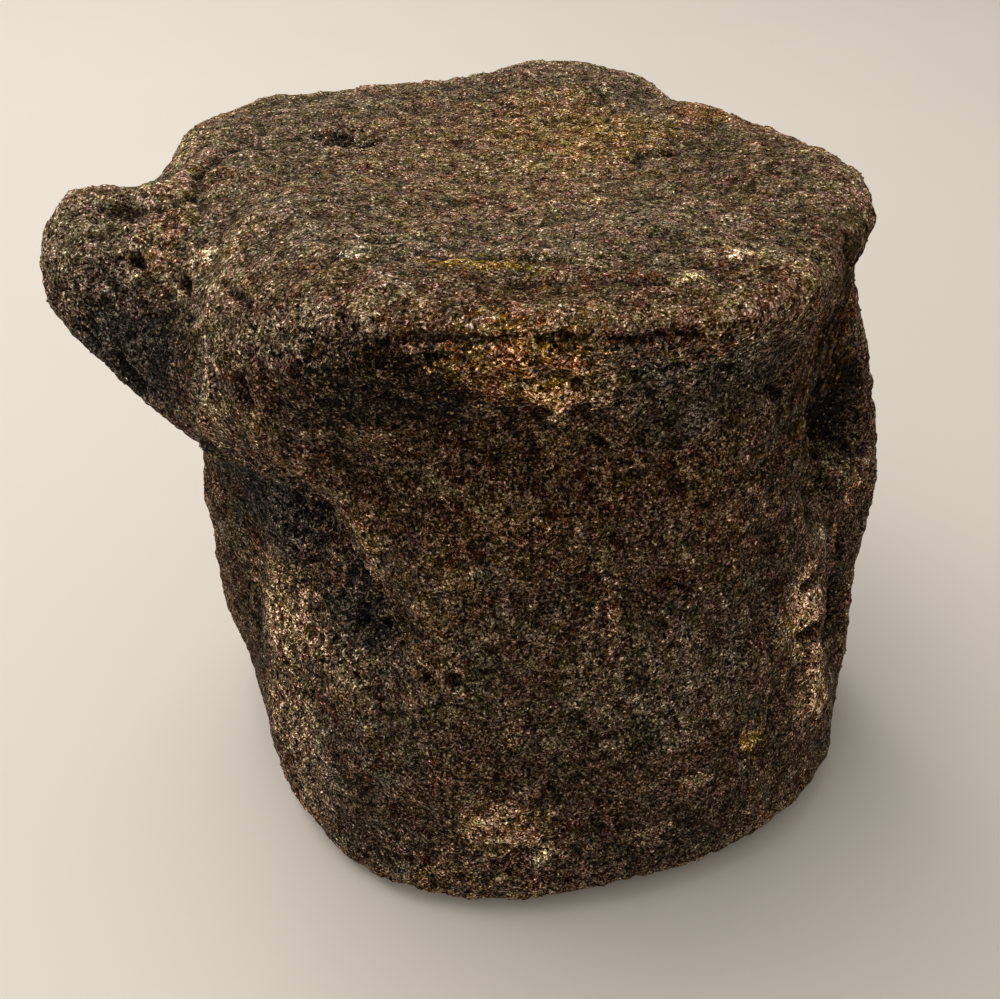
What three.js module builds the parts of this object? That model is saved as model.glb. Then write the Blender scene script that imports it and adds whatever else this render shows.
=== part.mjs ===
// A fossil whale vertebra, life size, in millimetres: one worn, heavy bone that stands on its rear face. +Z
// runs up the spine's own line, from the rear face to the front face. -Y is the back of the animal, where the
// smooth floor of the neural canal lies between the scars of the lost arch, and +Y is the belly, with its
// keel. -X is the animal's left, where a stub of the transverse process is left, and +X the right, where it
// broke away. The bone is one field, which is below zero inside it and about the distance from its surface
// elsewhere. The mesh starts as a sphere round the bone's core, and each point is moved along its own ray to
// where the field is zero.
import * as THREE from "three";

// Driving sizes. Places are counted from the front face's axis, on the floor.
const AXIAL_LENGTH = 152; // between the two faces
const UPPER_RADIUS = 78; // the front face, before its corners
const LOWER_RADIUS = 89; // the rear face, which is the larger
const LOWER_SHIFT = new THREE.Vector2(11, -5); // of the rear face's centre from the front face's

const degrees = THREE.MathUtils.degToRad;
const vector = (x, y, z) => new THREE.Vector3(x, y, z);
const bearingOf = (x, y) => THREE.MathUtils.radToDeg(Math.atan2(y, x)); // round the axis, from +X to +Y

// Smooth joins: k is how far from the join, in millimetres, the two shapes begin to blend.
const smoothMin = (a, b, k) => {
  const near = Math.max(k - Math.abs(a - b), 0) / k;
  return Math.min(a, b) - (near * near * k) / 4;
};
const smoothMax = (a, b, k) => -smoothMin(-a, -b, k);

// A round hill, 1 at its middle and near 0 at twice its width.
const hill = (distance, width) => Math.exp(-((distance / width) ** 2));
const bearingHill = (bearing, h) => hill(((bearing - h.towards + 540) % 360) - 180, h.width);
const sumOfHills = (bearing, hills) => hills.reduce((sum, h) => sum + h.height * bearingHill(bearing, h), 0);

// A tapering bar with round ends, from a to b.
function bar(p, a, b, radiusA, radiusB) {
  const along = b.clone().sub(a);
  const t = THREE.MathUtils.clamp(p.clone().sub(a).dot(along) / along.lengthSq(), 0, 1);
  return p.distanceTo(a.clone().addScaledVector(along, t)) - THREE.MathUtils.lerp(radiusA, radiusB, t);
}

const UP = vector(0, 0, 1);

// An ellipsoid, turned about the vertical by an angle in degrees.
function ellipsoid(p, { at, radii, turn }) {
  const q = p.clone().sub(at).applyAxisAngle(UP, -degrees(turn)).divide(radii);
  const scaled = q.length();
  return (scaled * (scaled - 1)) / Math.max(q.divide(radii).length(), Number.EPSILON);
}

// What makes each face's outline more than a circle: corners that stand out and flats that fall back.
const UPPER_CORNERS = [
  { towards: -46, width: 22, height: 6 }, // right shoulder
  { towards: -92, width: 24, height: -2 }, // floor of the canal
  { towards: -13, width: 16, height: 2 }, // root of the right process
  { towards: 34, width: 22, height: -6 }, // right of the keel
  { towards: 74, width: 20, height: 8 }, // keel
  { towards: 116, width: 16, height: -4.5 }, // left of the keel
  { towards: 160, width: 22, height: 9.5 }, // left shoulder
];
const LOWER_CORNERS = [
  { towards: -34, width: 15, height: 4 }, // foot of the right pedicle
  { towards: -56, width: 13, height: 1.6 },
  { towards: 85, width: 26, height: 3 }, // keel
  { towards: -116, width: 22, height: 6 }, // foot of the left pedicle
  { towards: -158, width: 13, height: -3 }, // left flank
];

// The waist between the faces. On the back and the flanks it falls away under a lip, which hangs lower over
// the left pedicle's scar, and comes back out to the foot. The belly side is drawn in evenly, on both sides
// of the keel.
const WAIST = { depth: 11, lip: 149, drop: 13, foot: 12 };
const LEFT_LIP = { towards: -150, width: 30, height: -44 };
const BELLY = [
  { towards: 28, width: 27, height: 10 },
  { towards: 78, width: 13, height: -6 },
  { towards: 126, width: 27, height: 10 },
];

function waist(z, bearing) {
  const lip = WAIST.lip + sumOfHills(bearing, [LEFT_LIP]);
  const fall = 1 - hill(Math.max(lip - z, 0), WAIST.drop);
  const rise = THREE.MathUtils.clamp((z - WAIST.foot) / (lip - WAIST.foot), 0, 1);
  const middle = Math.sin(THREE.MathUtils.clamp(z / AXIAL_LENGTH, 0, 1) * Math.PI);
  return WAIST.depth * fall * Math.sin((rise * Math.PI) / 2) ** 1.5 + sumOfHills(bearing, BELLY) * middle;
}

function wall(p) {
  const up = THREE.MathUtils.clamp(p.z / AXIAL_LENGTH, 0, 1);
  const x = p.x - LOWER_SHIFT.x * (1 - up);
  const y = p.y - LOWER_SHIFT.y * (1 - up);
  const bearing = bearingOf(x, y);
  const lower = LOWER_RADIUS + sumOfHills(bearing, LOWER_CORNERS);
  const upper = UPPER_RADIUS + sumOfHills(bearing, UPPER_CORNERS);
  return Math.hypot(x, y) - (THREE.MathUtils.lerp(lower, upper, up) - waist(p.z, bearing));
}

// Faces: a shallow dish inside a worn rim. The front rim's height wanders, and the rear one is worn flat in
// three places, on which the bone stands.
const DISH = { width: 37, upperDepth: 4, lowerDepth: 5 };
const RIM_ROUNDING = 5;
const EDGE_ROUNDING = [
  { towards: -152, width: 34, height: 11 }, // worn round above the left pedicle
  { towards: -78, width: 36, height: -3 }, // crisp above the canal
];
const RIM_SWELLS = [
  { towards: -10, width: 30, height: 2 },
  { towards: 78, width: 18, height: 2 },
  { towards: 108, width: 12, height: -1 },
  { towards: 165, width: 26, height: 1 },
];
const RESTS = { count: 3, depth: 0.8 };

function upperFace(p) {
  const fromCentre = Math.hypot(p.x, p.y);
  const towardsRim = THREE.MathUtils.smoothstep(fromCentre, UPPER_RADIUS / 2, UPPER_RADIUS);
  const swell = towardsRim * sumOfHills(bearingOf(p.x, p.y), RIM_SWELLS);
  return p.z - AXIAL_LENGTH - swell + DISH.upperDepth * hill(fromCentre, DISH.width);
}

function lowerFace(p) {
  const x = p.x - LOWER_SHIFT.x;
  const y = p.y - LOWER_SHIFT.y;
  const wear = RESTS.depth * Math.cos(RESTS.count * Math.atan2(y, x));
  return DISH.lowerDepth * hill(Math.hypot(x, y), DISH.width) - wear - p.z;
}

function body(p) {
  const worn = RIM_ROUNDING + sumOfHills(bearingOf(p.x, p.y), EDGE_ROUNDING);
  return smoothMax(smoothMax(wall(p), upperFace(p), worn * 2), lowerFace(p), RIM_ROUNDING * 2);
}

// Stub of the left transverse process: a knuckle beside the front face. Its heel runs down to the nose that
// is left of the pedicle.
const KNUCKLE = { at: vector(-83.5, -15, 131), root: vector(-56, -18, 120), radius: 18, rootRadius: 22 };
const HEEL = { at: vector(-67, -32, 111), radius: 12 };
const NOSE = { at: vector(-58, -46, 112), root: vector(-44, -46, 120), radius: 6, rootRadius: 16 };

function knuckle(p) {
  const stub = bar(p, KNUCKLE.at, KNUCKLE.root, KNUCKLE.radius, KNUCKLE.rootRadius);
  const heel = bar(p, KNUCKLE.at, HEEL.at, KNUCKLE.radius, HEEL.radius);
  const nose = bar(p, NOSE.at, NOSE.root, NOSE.radius, NOSE.rootRadius);
  return smoothMin(smoothMin(stub, heel, 14), nose, 8);
}

// Flanks: the left one is low and round, and the right one carries the other process's broken root.
const LEFT_FLANK = { top: vector(-60, -20, 97), foot: vector(-62, -21, 36), topRadius: 15.5, footRadius: 13 };
const RIGHT_ROOT = {
  top: vector(70, -14, 132),
  middle: vector(83, -16, 76),
  foot: vector(81, -21, 26),
  topRadius: 9,
  middleRadius: 11.6,
  footRadius: 15,
};

function flanks(p) {
  const left = bar(p, LEFT_FLANK.top, LEFT_FLANK.foot, LEFT_FLANK.topRadius, LEFT_FLANK.footRadius);
  const upper = bar(p, RIGHT_ROOT.top, RIGHT_ROOT.middle, RIGHT_ROOT.topRadius, RIGHT_ROOT.middleRadius);
  const lower = bar(p, RIGHT_ROOT.middle, RIGHT_ROOT.foot, RIGHT_ROOT.middleRadius, RIGHT_ROOT.footRadius);
  return Math.min(left, smoothMin(upper, lower, 6));
}

// Hollows: on the left the pit under the nose, with the pedicle's edge on its far side. On the right the
// groove that fans down from the front face to a deep hollow, a slot below that, and a hole in the slot.
const LEFT_PIT = { at: vector(-55, -70, 86), radii: vector(55, 20, 30), turn: -34 };
const LEFT_SLOT = { top: vector(-30, -78, 72), foot: vector(-27, -89, 46), topRadius: 9, footRadius: 5.5 };
const RIGHT_GROOVE = { top: vector(77, -42, 150), foot: vector(77, -41, 116), topRadius: 8, footRadius: 11 };
const RIGHT_HOLLOW = { at: vector(78.5, -42, 98), radii: vector(14.5, 16, 21), turn: 50 };
const RIGHT_SLOT = { top: vector(89, -43, 74), foot: vector(95, -44, 28), topRadius: 8, footRadius: 6.5 };
const RIGHT_HOLE = { at: vector(88, -44, 44), radius: 9 };
const KNUCKLE_DIMPLE = { at: vector(-83, -6, 152), radius: 9 };

const groove = (p, g) => bar(p, g.top, g.foot, g.topRadius, g.footRadius);
const dimple = (p, d) => p.distanceTo(d.at) - d.radius;

function hollows(p) {
  const left = smoothMin(ellipsoid(p, LEFT_PIT), groove(p, LEFT_SLOT), 8);
  const slot = Math.min(groove(p, RIGHT_SLOT), dimple(p, RIGHT_HOLE));
  const right = smoothMin(groove(p, RIGHT_GROOVE), smoothMin(ellipsoid(p, RIGHT_HOLLOW), slot, 4), 6);
  return Math.min(left, right, dimple(p, KNUCKLE_DIMPLE));
}

// Crests and scars: each stroke lifts the surface along a line, or sinks it where its height is negative.
const STROKES = [
  { from: vector(-53, -49, 142), to: vector(-59, -52, 120), width: 5, height: 1.6 }, // crest under the lip
  { from: vector(-59, -52, 120), to: vector(-62, -47, 106), width: 5, height: 1.6 }, // and on to the nose
  { from: vector(-61, -48, 105), to: vector(-42, -63, 111), width: 4, height: 1.8 }, // edge of the left pit
  { from: vector(-42, -63, 111), to: vector(-31, -65, 104), width: 4, height: 1.8 },
  { from: vector(-31, -65, 104), to: vector(-25, -69, 84), width: 4.5, height: 1.8 },
  { from: vector(-55, -47, 97), to: vector(-40, -56, 98), width: 7, height: -2.4 }, // depth of the pit
  { from: vector(-40, -56, 96), to: vector(-33, -62, 82), width: 5, height: -2.2 },
  { from: vector(-31, -66, 70), to: vector(-24, -70, 77), width: 4.5, height: -2.4 }, // slit at its foot
  { from: vector(-71, -38, 101), to: vector(-72, -32, 94), width: 7, height: -3.4 }, // notch under the nose
  { from: vector(-80, -36, 116), to: vector(-90, -31, 126), width: 9, height: 1.4 }, // under the knuckle
  { from: vector(-77, -24, 70), to: vector(-77, -23, 60), width: 9, height: 1.2 }, // left flank
  { from: vector(-38, 58, 149), to: vector(-34, 61, 150), width: 7, height: 0.8 }, // knob on the far rim
  { from: vector(-76, 22, 146), to: vector(-73, 25, 150), width: 9, height: 1.6 }, // swell behind it
  { from: vector(-86, -21, 151), to: vector(-79, -23, 149), width: 6.5, height: -3.4 }, // crease on top
  { from: vector(43, 62, 151), to: vector(46, 58, 150), width: 8, height: -1.4 }, // dip in the far rim
  { from: vector(-41, 14, 151), to: vector(-33, 18, 151), width: 6, height: -1.4 }, // pitted spot
  { from: vector(58, -52, 138), to: vector(62, -51, 108), width: 5, height: 1.8 }, // right hollow's edge
  { from: vector(62, -51, 108), to: vector(72, -50, 88), width: 5, height: 1.4 },
  { from: vector(78, -40, 74), to: vector(77, -51, 58), width: 4, height: 1.6 }, // chipped edge below it
  { from: vector(77, -52, 54), to: vector(82, -54, 34), width: 4, height: 1.6 },
  { from: vector(70, -55, 70), to: vector(79, -49, 67), width: 4, height: -2 }, // chips
  { from: vector(72, -58, 57), to: vector(80, -52, 54), width: 4, height: -2 },
  { from: vector(78, -30, 106), to: vector(82, -25, 94), width: 8, height: -2.6 }, // depth of the hollow
  { from: vector(84, -17, 112), to: vector(89, -16, 94), width: 8, height: 2.4 }, // its outer edge
  { from: vector(81, -31, 86), to: vector(91, -26, 85), width: 4, height: 2 }, // its ledge
  { from: vector(92, -26, 66), to: vector(92, -27, 61), width: 4.5, height: 2.2 }, // ridge outside the slot
  { from: vector(91, -29, 56), to: vector(91, -30, 51), width: 5, height: -1 }, // its broken end
  { from: vector(93, -30, 37), to: vector(93, -32, 28), width: 7, height: 1.6 }, // and below that
  { from: vector(85, -35, 49), to: vector(87, -34, 37), width: 6, height: -4 }, // hole in the slot
  { from: vector(94, -42, 9), to: vector(94, -40, 0), width: 10, height: -1.4 }, // end of the right root
  { from: vector(18, 65, 81), to: vector(19, 65, 74), width: 6, height: -3.2 }, // feeding hole by the keel
  { from: vector(-26, 63, 73), to: vector(-26, 63, 67), width: 6, height: -2.8 }, // and its fellow
];

function strokes(p) {
  const lift = (sum, s) => sum + s.height * hill(bar(p, s.from, s.to, 0, 0), s.width);
  return STROKES.reduce(lift, 0);
}

// Long, low swells, as weather and water leave them. They die out towards the rear face, on which it stands.
const SWELLS = [
  { along: vector(0.8, 0.1, 0.6), length: 47, height: 0.45 },
  { along: vector(-0.5, 0.8, 0.3), length: 41, height: 0.45 },
  { along: vector(0.2, 0.6, -0.8), length: 36, height: 0.4 },
  { along: vector(0.7, -0.7, -0.1), length: 29, height: 0.35 },
  { along: vector(0.1, 0.2, 1), length: 26, height: 0.3 },
];
const SWELLS_FADE = { from: 3, to: 22 };
const WANDER = { shift: 10, length: 16 }; // bends the swells, so that none runs straight

function swells(p) {
  const bend = (along) => WANDER.shift * Math.sin(along / WANDER.length);
  const bent = vector(p.x + bend(p.y), p.y + bend(p.z), p.z + bend(p.x));
  const wave = (sum, s, i) => sum + s.height * Math.sin((2 * Math.PI * bent.dot(s.along)) / s.length + i);
  return THREE.MathUtils.smoothstep(p.z, SWELLS_FADE.from, SWELLS_FADE.to) * SWELLS.reduce(wave, 0);
}

const BLEND = { knuckle: 9, flanks: 14, hollows: 3 };

function bone(p) {
  const withKnuckle = smoothMin(body(p), knuckle(p), BLEND.knuckle);
  const whole = smoothMin(withKnuckle, flanks(p), BLEND.flanks);
  return Math.max(smoothMax(whole, -hollows(p), BLEND.hollows) - strokes(p) - swells(p), -p.z);
}

// All of the surface is in sight of the core, and the search for it starts well outside the bone.
const CORE = vector(4, -2, 74);
const SEARCH = { from: 190, step: 2, halvings: 14 };

function reach(direction) {
  const at = (distance) => CORE.clone().addScaledVector(direction, distance);
  let outside = SEARCH.from;
  while (bone(at(outside - SEARCH.step)) > 0) outside -= SEARCH.step;
  let inside = outside - SEARCH.step;
  for (let i = 0; i < SEARCH.halvings; i += 1) {
    const middle = (outside + inside) / 2;
    if (bone(at(middle)) > 0) outside = middle;
    else inside = middle;
  }
  return inside;
}

// Rings from the front face's middle to the rear one's, closest together where they turn over a rim. Each
// band ends at an elevation seen from the core, in degrees. The sectors crowd towards both sides, where the
// processes are.
const BANDS = [
  { to: 52, rings: 9 },
  { to: 36, rings: 8 },
  { to: -33, rings: 19 },
  { to: -45, rings: 6 },
  { to: -90, rings: 8 },
];
const SECTORS = 98;
const CROWDING = degrees(11);

function ringElevations() {
  const elevations = [90];
  for (const band of BANDS) {
    const from = elevations.at(-1);
    for (let i = 1; i <= band.rings; i += 1) elevations.push(from + ((band.to - from) * i) / band.rings);
  }
  return elevations;
}

function boneGeometry() {
  const elevations = ringElevations();
  const geometry = new THREE.SphereGeometry(1, SECTORS, elevations.length - 1);
  const position = geometry.getAttribute("position");
  for (let i = 0; i < position.count; i += 1) {
    const turn = ((i % (SECTORS + 1)) / SECTORS) * Math.PI * 2;
    const bearing = turn - CROWDING * Math.sin(2 * turn);
    const elevation = degrees(elevations[Math.floor(i / (SECTORS + 1))]);
    const level = Math.cos(elevation);
    const direction = vector(level * Math.cos(bearing), level * Math.sin(bearing), Math.sin(elevation));
    const point = CORE.clone().addScaledVector(direction, reach(direction));
    position.setXYZ(i, point.x, point.y, point.z);
  }
  return geometry;
}

// The finished bone stands on the floor, over the middle of its own footprint.
function standing(geometry) {
  geometry.computeBoundingBox();
  const middle = geometry.boundingBox.getCenter(vector(0, 0, 0));
  return geometry.translate(-middle.x, -middle.y, -geometry.boundingBox.min.z);
}

const fossilBone = new THREE.MeshStandardMaterial({ color: 0x5b4e40, roughness: 0.85, metalness: 0 });
const vertebra = new THREE.Mesh(standing(boneGeometry()), fossilBone);
vertebra.name = "vertebra";

const group = new THREE.Group();
group.add(vertebra);

export default group;
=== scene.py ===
"""A fossil whale vertebra, life size: its weathered surface, the sand on it, and its studio."""

import logging
import math
from dataclasses import dataclass
from enum import Enum

import bmesh
import bpy
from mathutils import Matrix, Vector


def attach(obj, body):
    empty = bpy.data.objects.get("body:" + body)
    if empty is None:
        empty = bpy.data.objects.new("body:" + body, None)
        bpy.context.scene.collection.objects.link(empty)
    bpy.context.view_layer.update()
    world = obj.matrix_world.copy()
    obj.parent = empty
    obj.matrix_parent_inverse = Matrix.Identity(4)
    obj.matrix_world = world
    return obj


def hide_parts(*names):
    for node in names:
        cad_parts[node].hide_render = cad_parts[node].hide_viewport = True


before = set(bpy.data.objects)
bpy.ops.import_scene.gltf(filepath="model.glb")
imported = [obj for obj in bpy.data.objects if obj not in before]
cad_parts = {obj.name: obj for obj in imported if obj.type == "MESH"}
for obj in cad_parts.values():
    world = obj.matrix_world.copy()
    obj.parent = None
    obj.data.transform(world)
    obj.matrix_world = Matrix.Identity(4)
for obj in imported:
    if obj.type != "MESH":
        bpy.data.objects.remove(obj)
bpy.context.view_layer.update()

LOG = logging.getLogger("vertebra")
MM = 0.001
METRES_TO_MM = (1000, 1000, 1000)
CM2_PER_M2 = 1e4
# What the lamps face.
BONE_MIDDLE = (0.0, 0.0, 0.07)

Place = tuple[float, float, float]
Tree = bpy.types.NodeTree
Node = bpy.types.Node
Socket = bpy.types.NodeSocket
Material = bpy.types.Material
Piece = bpy.types.Object
Inputs = bpy.types.bpy_prop_collection

# The kinds of node that the trees use most.
MATH = "ShaderNodeMath"
VECTOR = "ShaderNodeVectorMath"
NOISE = "ShaderNodeTexNoise"
RANGE = "ShaderNodeMapRange"
MIX = "ShaderNodeMix"
NAMED = "ShaderNodeAttribute"
STORE = "GeometryNodeStoreNamedAttribute"


def add(tree: Tree, kind: str, links: dict | None = None, **settings) -> Node:
    """Add one node to a tree, with its settings and what feeds its inputs.

    Args:
        tree: The node tree that gets the node.
        kind: The node's Blender class name.
        links: For each input, by index or by name, a value, a socket or a node.
        **settings: Properties to set on the node before its inputs.

    Returns:
        The new node.
    """
    node = tree.nodes.new(kind)
    for name, value in settings.items():
        setattr(node, name, value)
    for key, value in (links or {}).items():
        if isinstance(key, int):
            socket = node.inputs[key]
        else:
            socket = next(item for item in node.inputs if item.name == key and item.enabled)
        if isinstance(value, Node):
            value = next(item for item in value.outputs if item.enabled)
        if isinstance(value, Socket):
            tree.links.new(value, socket)
        else:
            socket.default_value = value
    return node


def linear(colour: str) -> tuple[float, float, float, float]:
    """Turn an sRGB hex colour into linear light.

    Args:
        colour: Six hex digits after a hash sign.

    Returns:
        Red, green, blue and an alpha of one.
    """
    parts = [int(colour[place:place + 2], 16) / 255 for place in (1, 3, 5)]
    red, green, blue = (
        part / 12.92 if part <= 0.04045 else ((part + 0.055) / 1.055) ** 2.4 for part in parts
    )
    return red, green, blue, 1.0


def push(tree: Tree, place: Node, scale: float, detail: float, reach: float,
         roughness: float = 0.5) -> Node:
    """Give a random push at each place, with which a pattern's edge goes ragged.

    Args:
        tree: The tree.
        place: The place.
        scale: The noise's scale.
        detail: The noise's detail.
        reach: The longest push on each axis, either way.
        roughness: The noise's roughness.

    Returns:
        The push.
    """
    noise = add(tree, NOISE, {"Vector": place, "Scale": scale, "Detail": detail,
                              "Roughness": roughness})
    return add(tree, VECTOR, {0: noise.outputs["Color"], 1: (2 * reach,) * 3, 2: (-reach,) * 3},
               operation="MULTIPLY_ADD")


def comb(tree: Tree, place: Node, squeeze: Place) -> Node:
    """Turn the place to the bone's grain and draw it out along it.

    Args:
        tree: The tree.
        place: The place in mm.
        squeeze: The factor across the grain, twice, and the one along it.

    Returns:
        The drawn-out place.
    """
    turned = add(tree, "ShaderNodeVectorRotate",
                 {"Vector": place, "Rotation": tuple(GRAIN.to_track_quat("Z", "Y").to_euler())},
                 rotation_type="EULER_XYZ", invert=True)
    return add(tree, VECTOR, {0: turned, 1: squeeze}, operation="MULTIPLY")


def shade(material: Material, links: dict) -> Material:
    """End a material with its one shader.

    Args:
        material: The material.
        links: What feeds the shader's inputs.

    Returns:
        The same material.
    """
    shader = add(material.node_tree, "ShaderNodeBsdfPrincipled", links)
    add(material.node_tree, "ShaderNodeOutputMaterial", {"Surface": shader})
    return material


def new_material(name: str) -> Material:
    """Start a material with an empty node tree.

    Args:
        name: The material's name.

    Returns:
        The material.
    """
    material = bpy.data.materials.new(name)
    material.use_nodes = True
    material.node_tree.nodes.clear()
    return material


@dataclass(frozen=True)
class Noise:
    """A noise, of which the part from low to high is stretched to run from least to most."""

    scale: float
    detail: float
    roughness: float = 0.5
    low: float = 0.0
    high: float = 1.0
    least: float = 0.0
    most: float = 1.0
    clamp: bool = True

    def level(self, tree: Tree, place: Node) -> Node:
        """Give the stretched noise.

        Args:
            tree: The tree.
            place: The place in mm.

        Returns:
            The level, from least to most.
        """
        noise = add(tree, NOISE, {"Vector": place, "Scale": self.scale, "Detail": self.detail,
                                  "Roughness": self.roughness})
        return add(tree, RANGE, {"Value": noise, "From Min": self.low, "From Max": self.high,
                                 "To Min": self.least, "To Max": self.most}, clamp=self.clamp)


class Tint(Enum):
    """The colours that the minerals of the ground left in the bone and on it, and the black of
    painted shade.
    """

    PEAT = "#463425"
    UMBER = "#5a412c"
    SLATE = "#4a4235"
    OLIVE = "#4e4230"
    WORN = "#7b6955"
    RUST = "#8a5f36"
    RED_EARTH = "#523b26"
    MANGANESE = "#2b2826"
    # Not a mineral: the black of painted shade in pores, holes and under the front rim's lip.
    PAINTED_SHADE = "#0f0905"
    TAN = "#977858"
    ROSE = "#b08a68"
    OCHRE = "#a88048"
    SAND = "#c0a585"
    QUARTZ = "#e0d2b8"


class Relief(Enum):
    """Which way marks go from the bone's surface."""

    HOLLOW = -1.0
    LUMP = 1.0


@dataclass(frozen=True)
class Mark:
    """One hole, slit, scar or lump, as a rounded stroke between two places, in mm."""

    start: Place
    end: Place
    radius: float
    height: float


@dataclass(frozen=True)
class Patch:
    """One ragged ellipsoid of the bone, in mm, and how strong it is."""

    centre: Place
    radii: Place
    strength: float = 1.0

    def distance(self, tree: Tree, place: Node) -> Socket:
        """Give how far each place is from the patch's centre, with 1 at its edge.

        Args:
            tree: The tree.
            place: The place in mm.

        Returns:
            The socket that gives the distance.
        """
        offset = add(tree, VECTOR, {0: place, 1: self.centre}, operation="SUBTRACT")
        offset = add(tree, VECTOR, {0: offset, 1: self.radii}, operation="DIVIDE")
        return add(tree, VECTOR, {0: offset}, operation="LENGTH").outputs["Value"]


@dataclass(frozen=True)
class Stain:
    """One cloud of colour in the bone, as an ellipsoid in mm."""

    tint: Tint
    centre: Place
    radii: Place
    strength: float = 1.0


HOLLOWS = (
    # Feeding holes of the blood vessels, and the pits between them, on the canal floor.
    Mark((36.4, -63.8, 112), (38.6, -63.6, 109.6), 2.4, 1.5),
    Mark((28.2, -65, 114.8), (29.6, -65, 114.2), 1.8, 1.1),
    Mark((19.6, -65.1, 122.6), (21.4, -65.1, 121.6), 1.6, 1.1),
    Mark((54.6, -53.4, 125.8), (57, -51.6, 124.4), 2.6, 1.8),
    Mark((-2, -70.5, 138.5), (1.5, -70.3, 136), 2, 1.4),
    Mark((26.5, -67, 138.5), (34, -66, 139.5), 2.3, 1.7),
    Mark((41, -64, 137), (46, -60.5, 134.5), 2.1, 1.4),
    Mark((-20, -70, 142), (-9, -71, 143.5), 2, 1),
    Mark((-19, -69.5, 133), (-12, -69.5, 129), 2.6, 1.5),
    Mark((-14.2, -75.4, 66.6), (-12.8, -75.8, 66.2), 1.7, 1.6),
    Mark((-8.3, -77.2, 68.2), (-7.6, -77.4, 67), 1.8, 1.6),
    Mark((37, -78, 48.4), (38.2, -78, 47.2), 1.8, 1.5),
    Mark((31.2, -75, 67), (32.2, -75.4, 65.8), 1.6, 1.3),
    # The crumbled line under the rim of the front face.
    Mark((-19, -70, 146), (-8, -70, 147), 1.9, 1.3),
    Mark((-8, -70, 147), (12, -72.6, 148), 1.7, 1.3),
    Mark((12, -72.6, 148), (36, -69.4, 147.4), 1.8, 1.2),
    # Slits and the deep strip at the foot of the left pedicle's scar.
    Mark((-28.6, -61, 68.8), (-22.4, -65, 73), 1.4, 1),
    Mark((-31.6, -60.6, 66), (-28.4, -61, 69.6), 1.8, 1.6),
    Mark((-30, -60.5, 58.5), (-26, -66.5, 51.5), 2.2, 1.8),
    Mark((-52, -46.5, 94.5), (-36.5, -52.5, 95.5), 3.6, 1),
    Mark((-46, -47.5, 86), (-38, -52.5, 86), 2.6, 1.1),
    Mark((-34, -56.5, 88), (-29, -60, 82), 2.4, 1.2),
    # The lip of the front face on the left: slit, pocket and creases.
    Mark((-55, -50.6, 129), (-54.6, -51.4, 123), 1.6, 3),
    Mark((-48.6, -57.4, 130), (-47.8, -58, 126.6), 2.6, 3.2),
    Mark((-50.6, -45.5, 144.6), (-44, -52.2, 143.2), 1.5, 1.5),
    Mark((-64.2, -32.6, 140.2), (-61.6, -34.2, 138.2), 1.8, 2.4),
    Mark((-73.8, -28.4, 143.2), (-73.2, -28.9, 141.8), 1.7, 2.6),
    Mark((-82.4, -17.5, 150.4), (-76, -18.6, 149), 3.4, 1.6),
    Mark((-67, -15.6, 150.6), (-64.6, -13.4, 151.2), 2, 2),
    Mark((-65, -4, 152), (-60.5, -22, 149), 2, 1.2),
    Mark((-59, 8, 152.6), (-65.4, -3, 151.6), 2.2, 1.2),
    # Under the knuckle: the open ends of its spongy core.
    Mark((-80, -34.5, 122), (-76, -36, 118), 3.6, 2.2),
    Mark((-87.5, -31.5, 128), (-84.6, -33.2, 125), 2.6, 1.6),
    Mark((-70.5, -37, 124), (-68, -38, 120), 2.4, 1.6),
    # The front face: a pitted spot, a cracked step and shallow furrows along the rim.
    Mark((-38, 17.6, 150.4), (-29.6, 21, 150.4), 2.6, 1.4),
    Mark((-37, 22, 151), (-33.6, 24, 151), 2, 1.4),
    Mark((28, 58, 152), (31.6, 44, 151.4), 1.2, 0.9),
    Mark((31.6, 44, 151.4), (29, 36, 151), 1.4, 1.2),
    Mark((29, 36, 151), (31.6, 17, 150), 1.2, 0.7),
    Mark((34, 10.6, 150.2), (34.6, 4, 150), 1.5, 1.1),
    Mark((34.4, 12.6, 150.2), (43.6, 13, 150.6), 1.6, 1.2),
    Mark((-33, -38, 151.3), (-19, -41, 151), 1.8, 0.9),
    Mark((-25, -34.6, 151), (-15, -35.6, 150.8), 1.7, 0.9),
    Mark((-12, -47, 151.4), (14, -49.6, 151.4), 1.8, 0.7),
    Mark((4, -57, 151.6), (32, -58, 151.6), 1.7, 0.7),
    Mark((53.6, -31, 152.6), (60, -36, 152.8), 1.9, 0.8),
    # The broken root of the right process: holes, a ledge's foot and chipped notches.
    Mark((88.5, -31.5, 47.5), (90, -30.6, 38), 4, 2.6),
    Mark((80, -27, 108), (84, -21.6, 93), 4.6, 1.2),
    Mark((76, -30, 90.6), (92, -22, 89.6), 2.2, 1.4),
    Mark((83.6, -36.6, 70), (85, -38, 52), 2.8, 2.4),
    Mark((85.4, -42, 50), (88, -44, 36), 2.6, 2),
    Mark((87.6, -30.6, 72), (90.6, -28.6, 60), 1.8, 1.6),
    Mark((72.6, -50.6, 69.4), (79, -45, 67.6), 2.4, 2.2),
    Mark((74.6, -54, 56.6), (81, -48, 54.8), 2.2, 2),
    # The belly side: a pair of feeding holes beside the keel.
    Mark((21.2, 67, 79.6), (22.4, 67, 75.4), 2.6, 2.4),
    Mark((-22.8, 65.4, 72), (-22.8, 65.4, 68.6), 2.4, 2.2),
)

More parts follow.
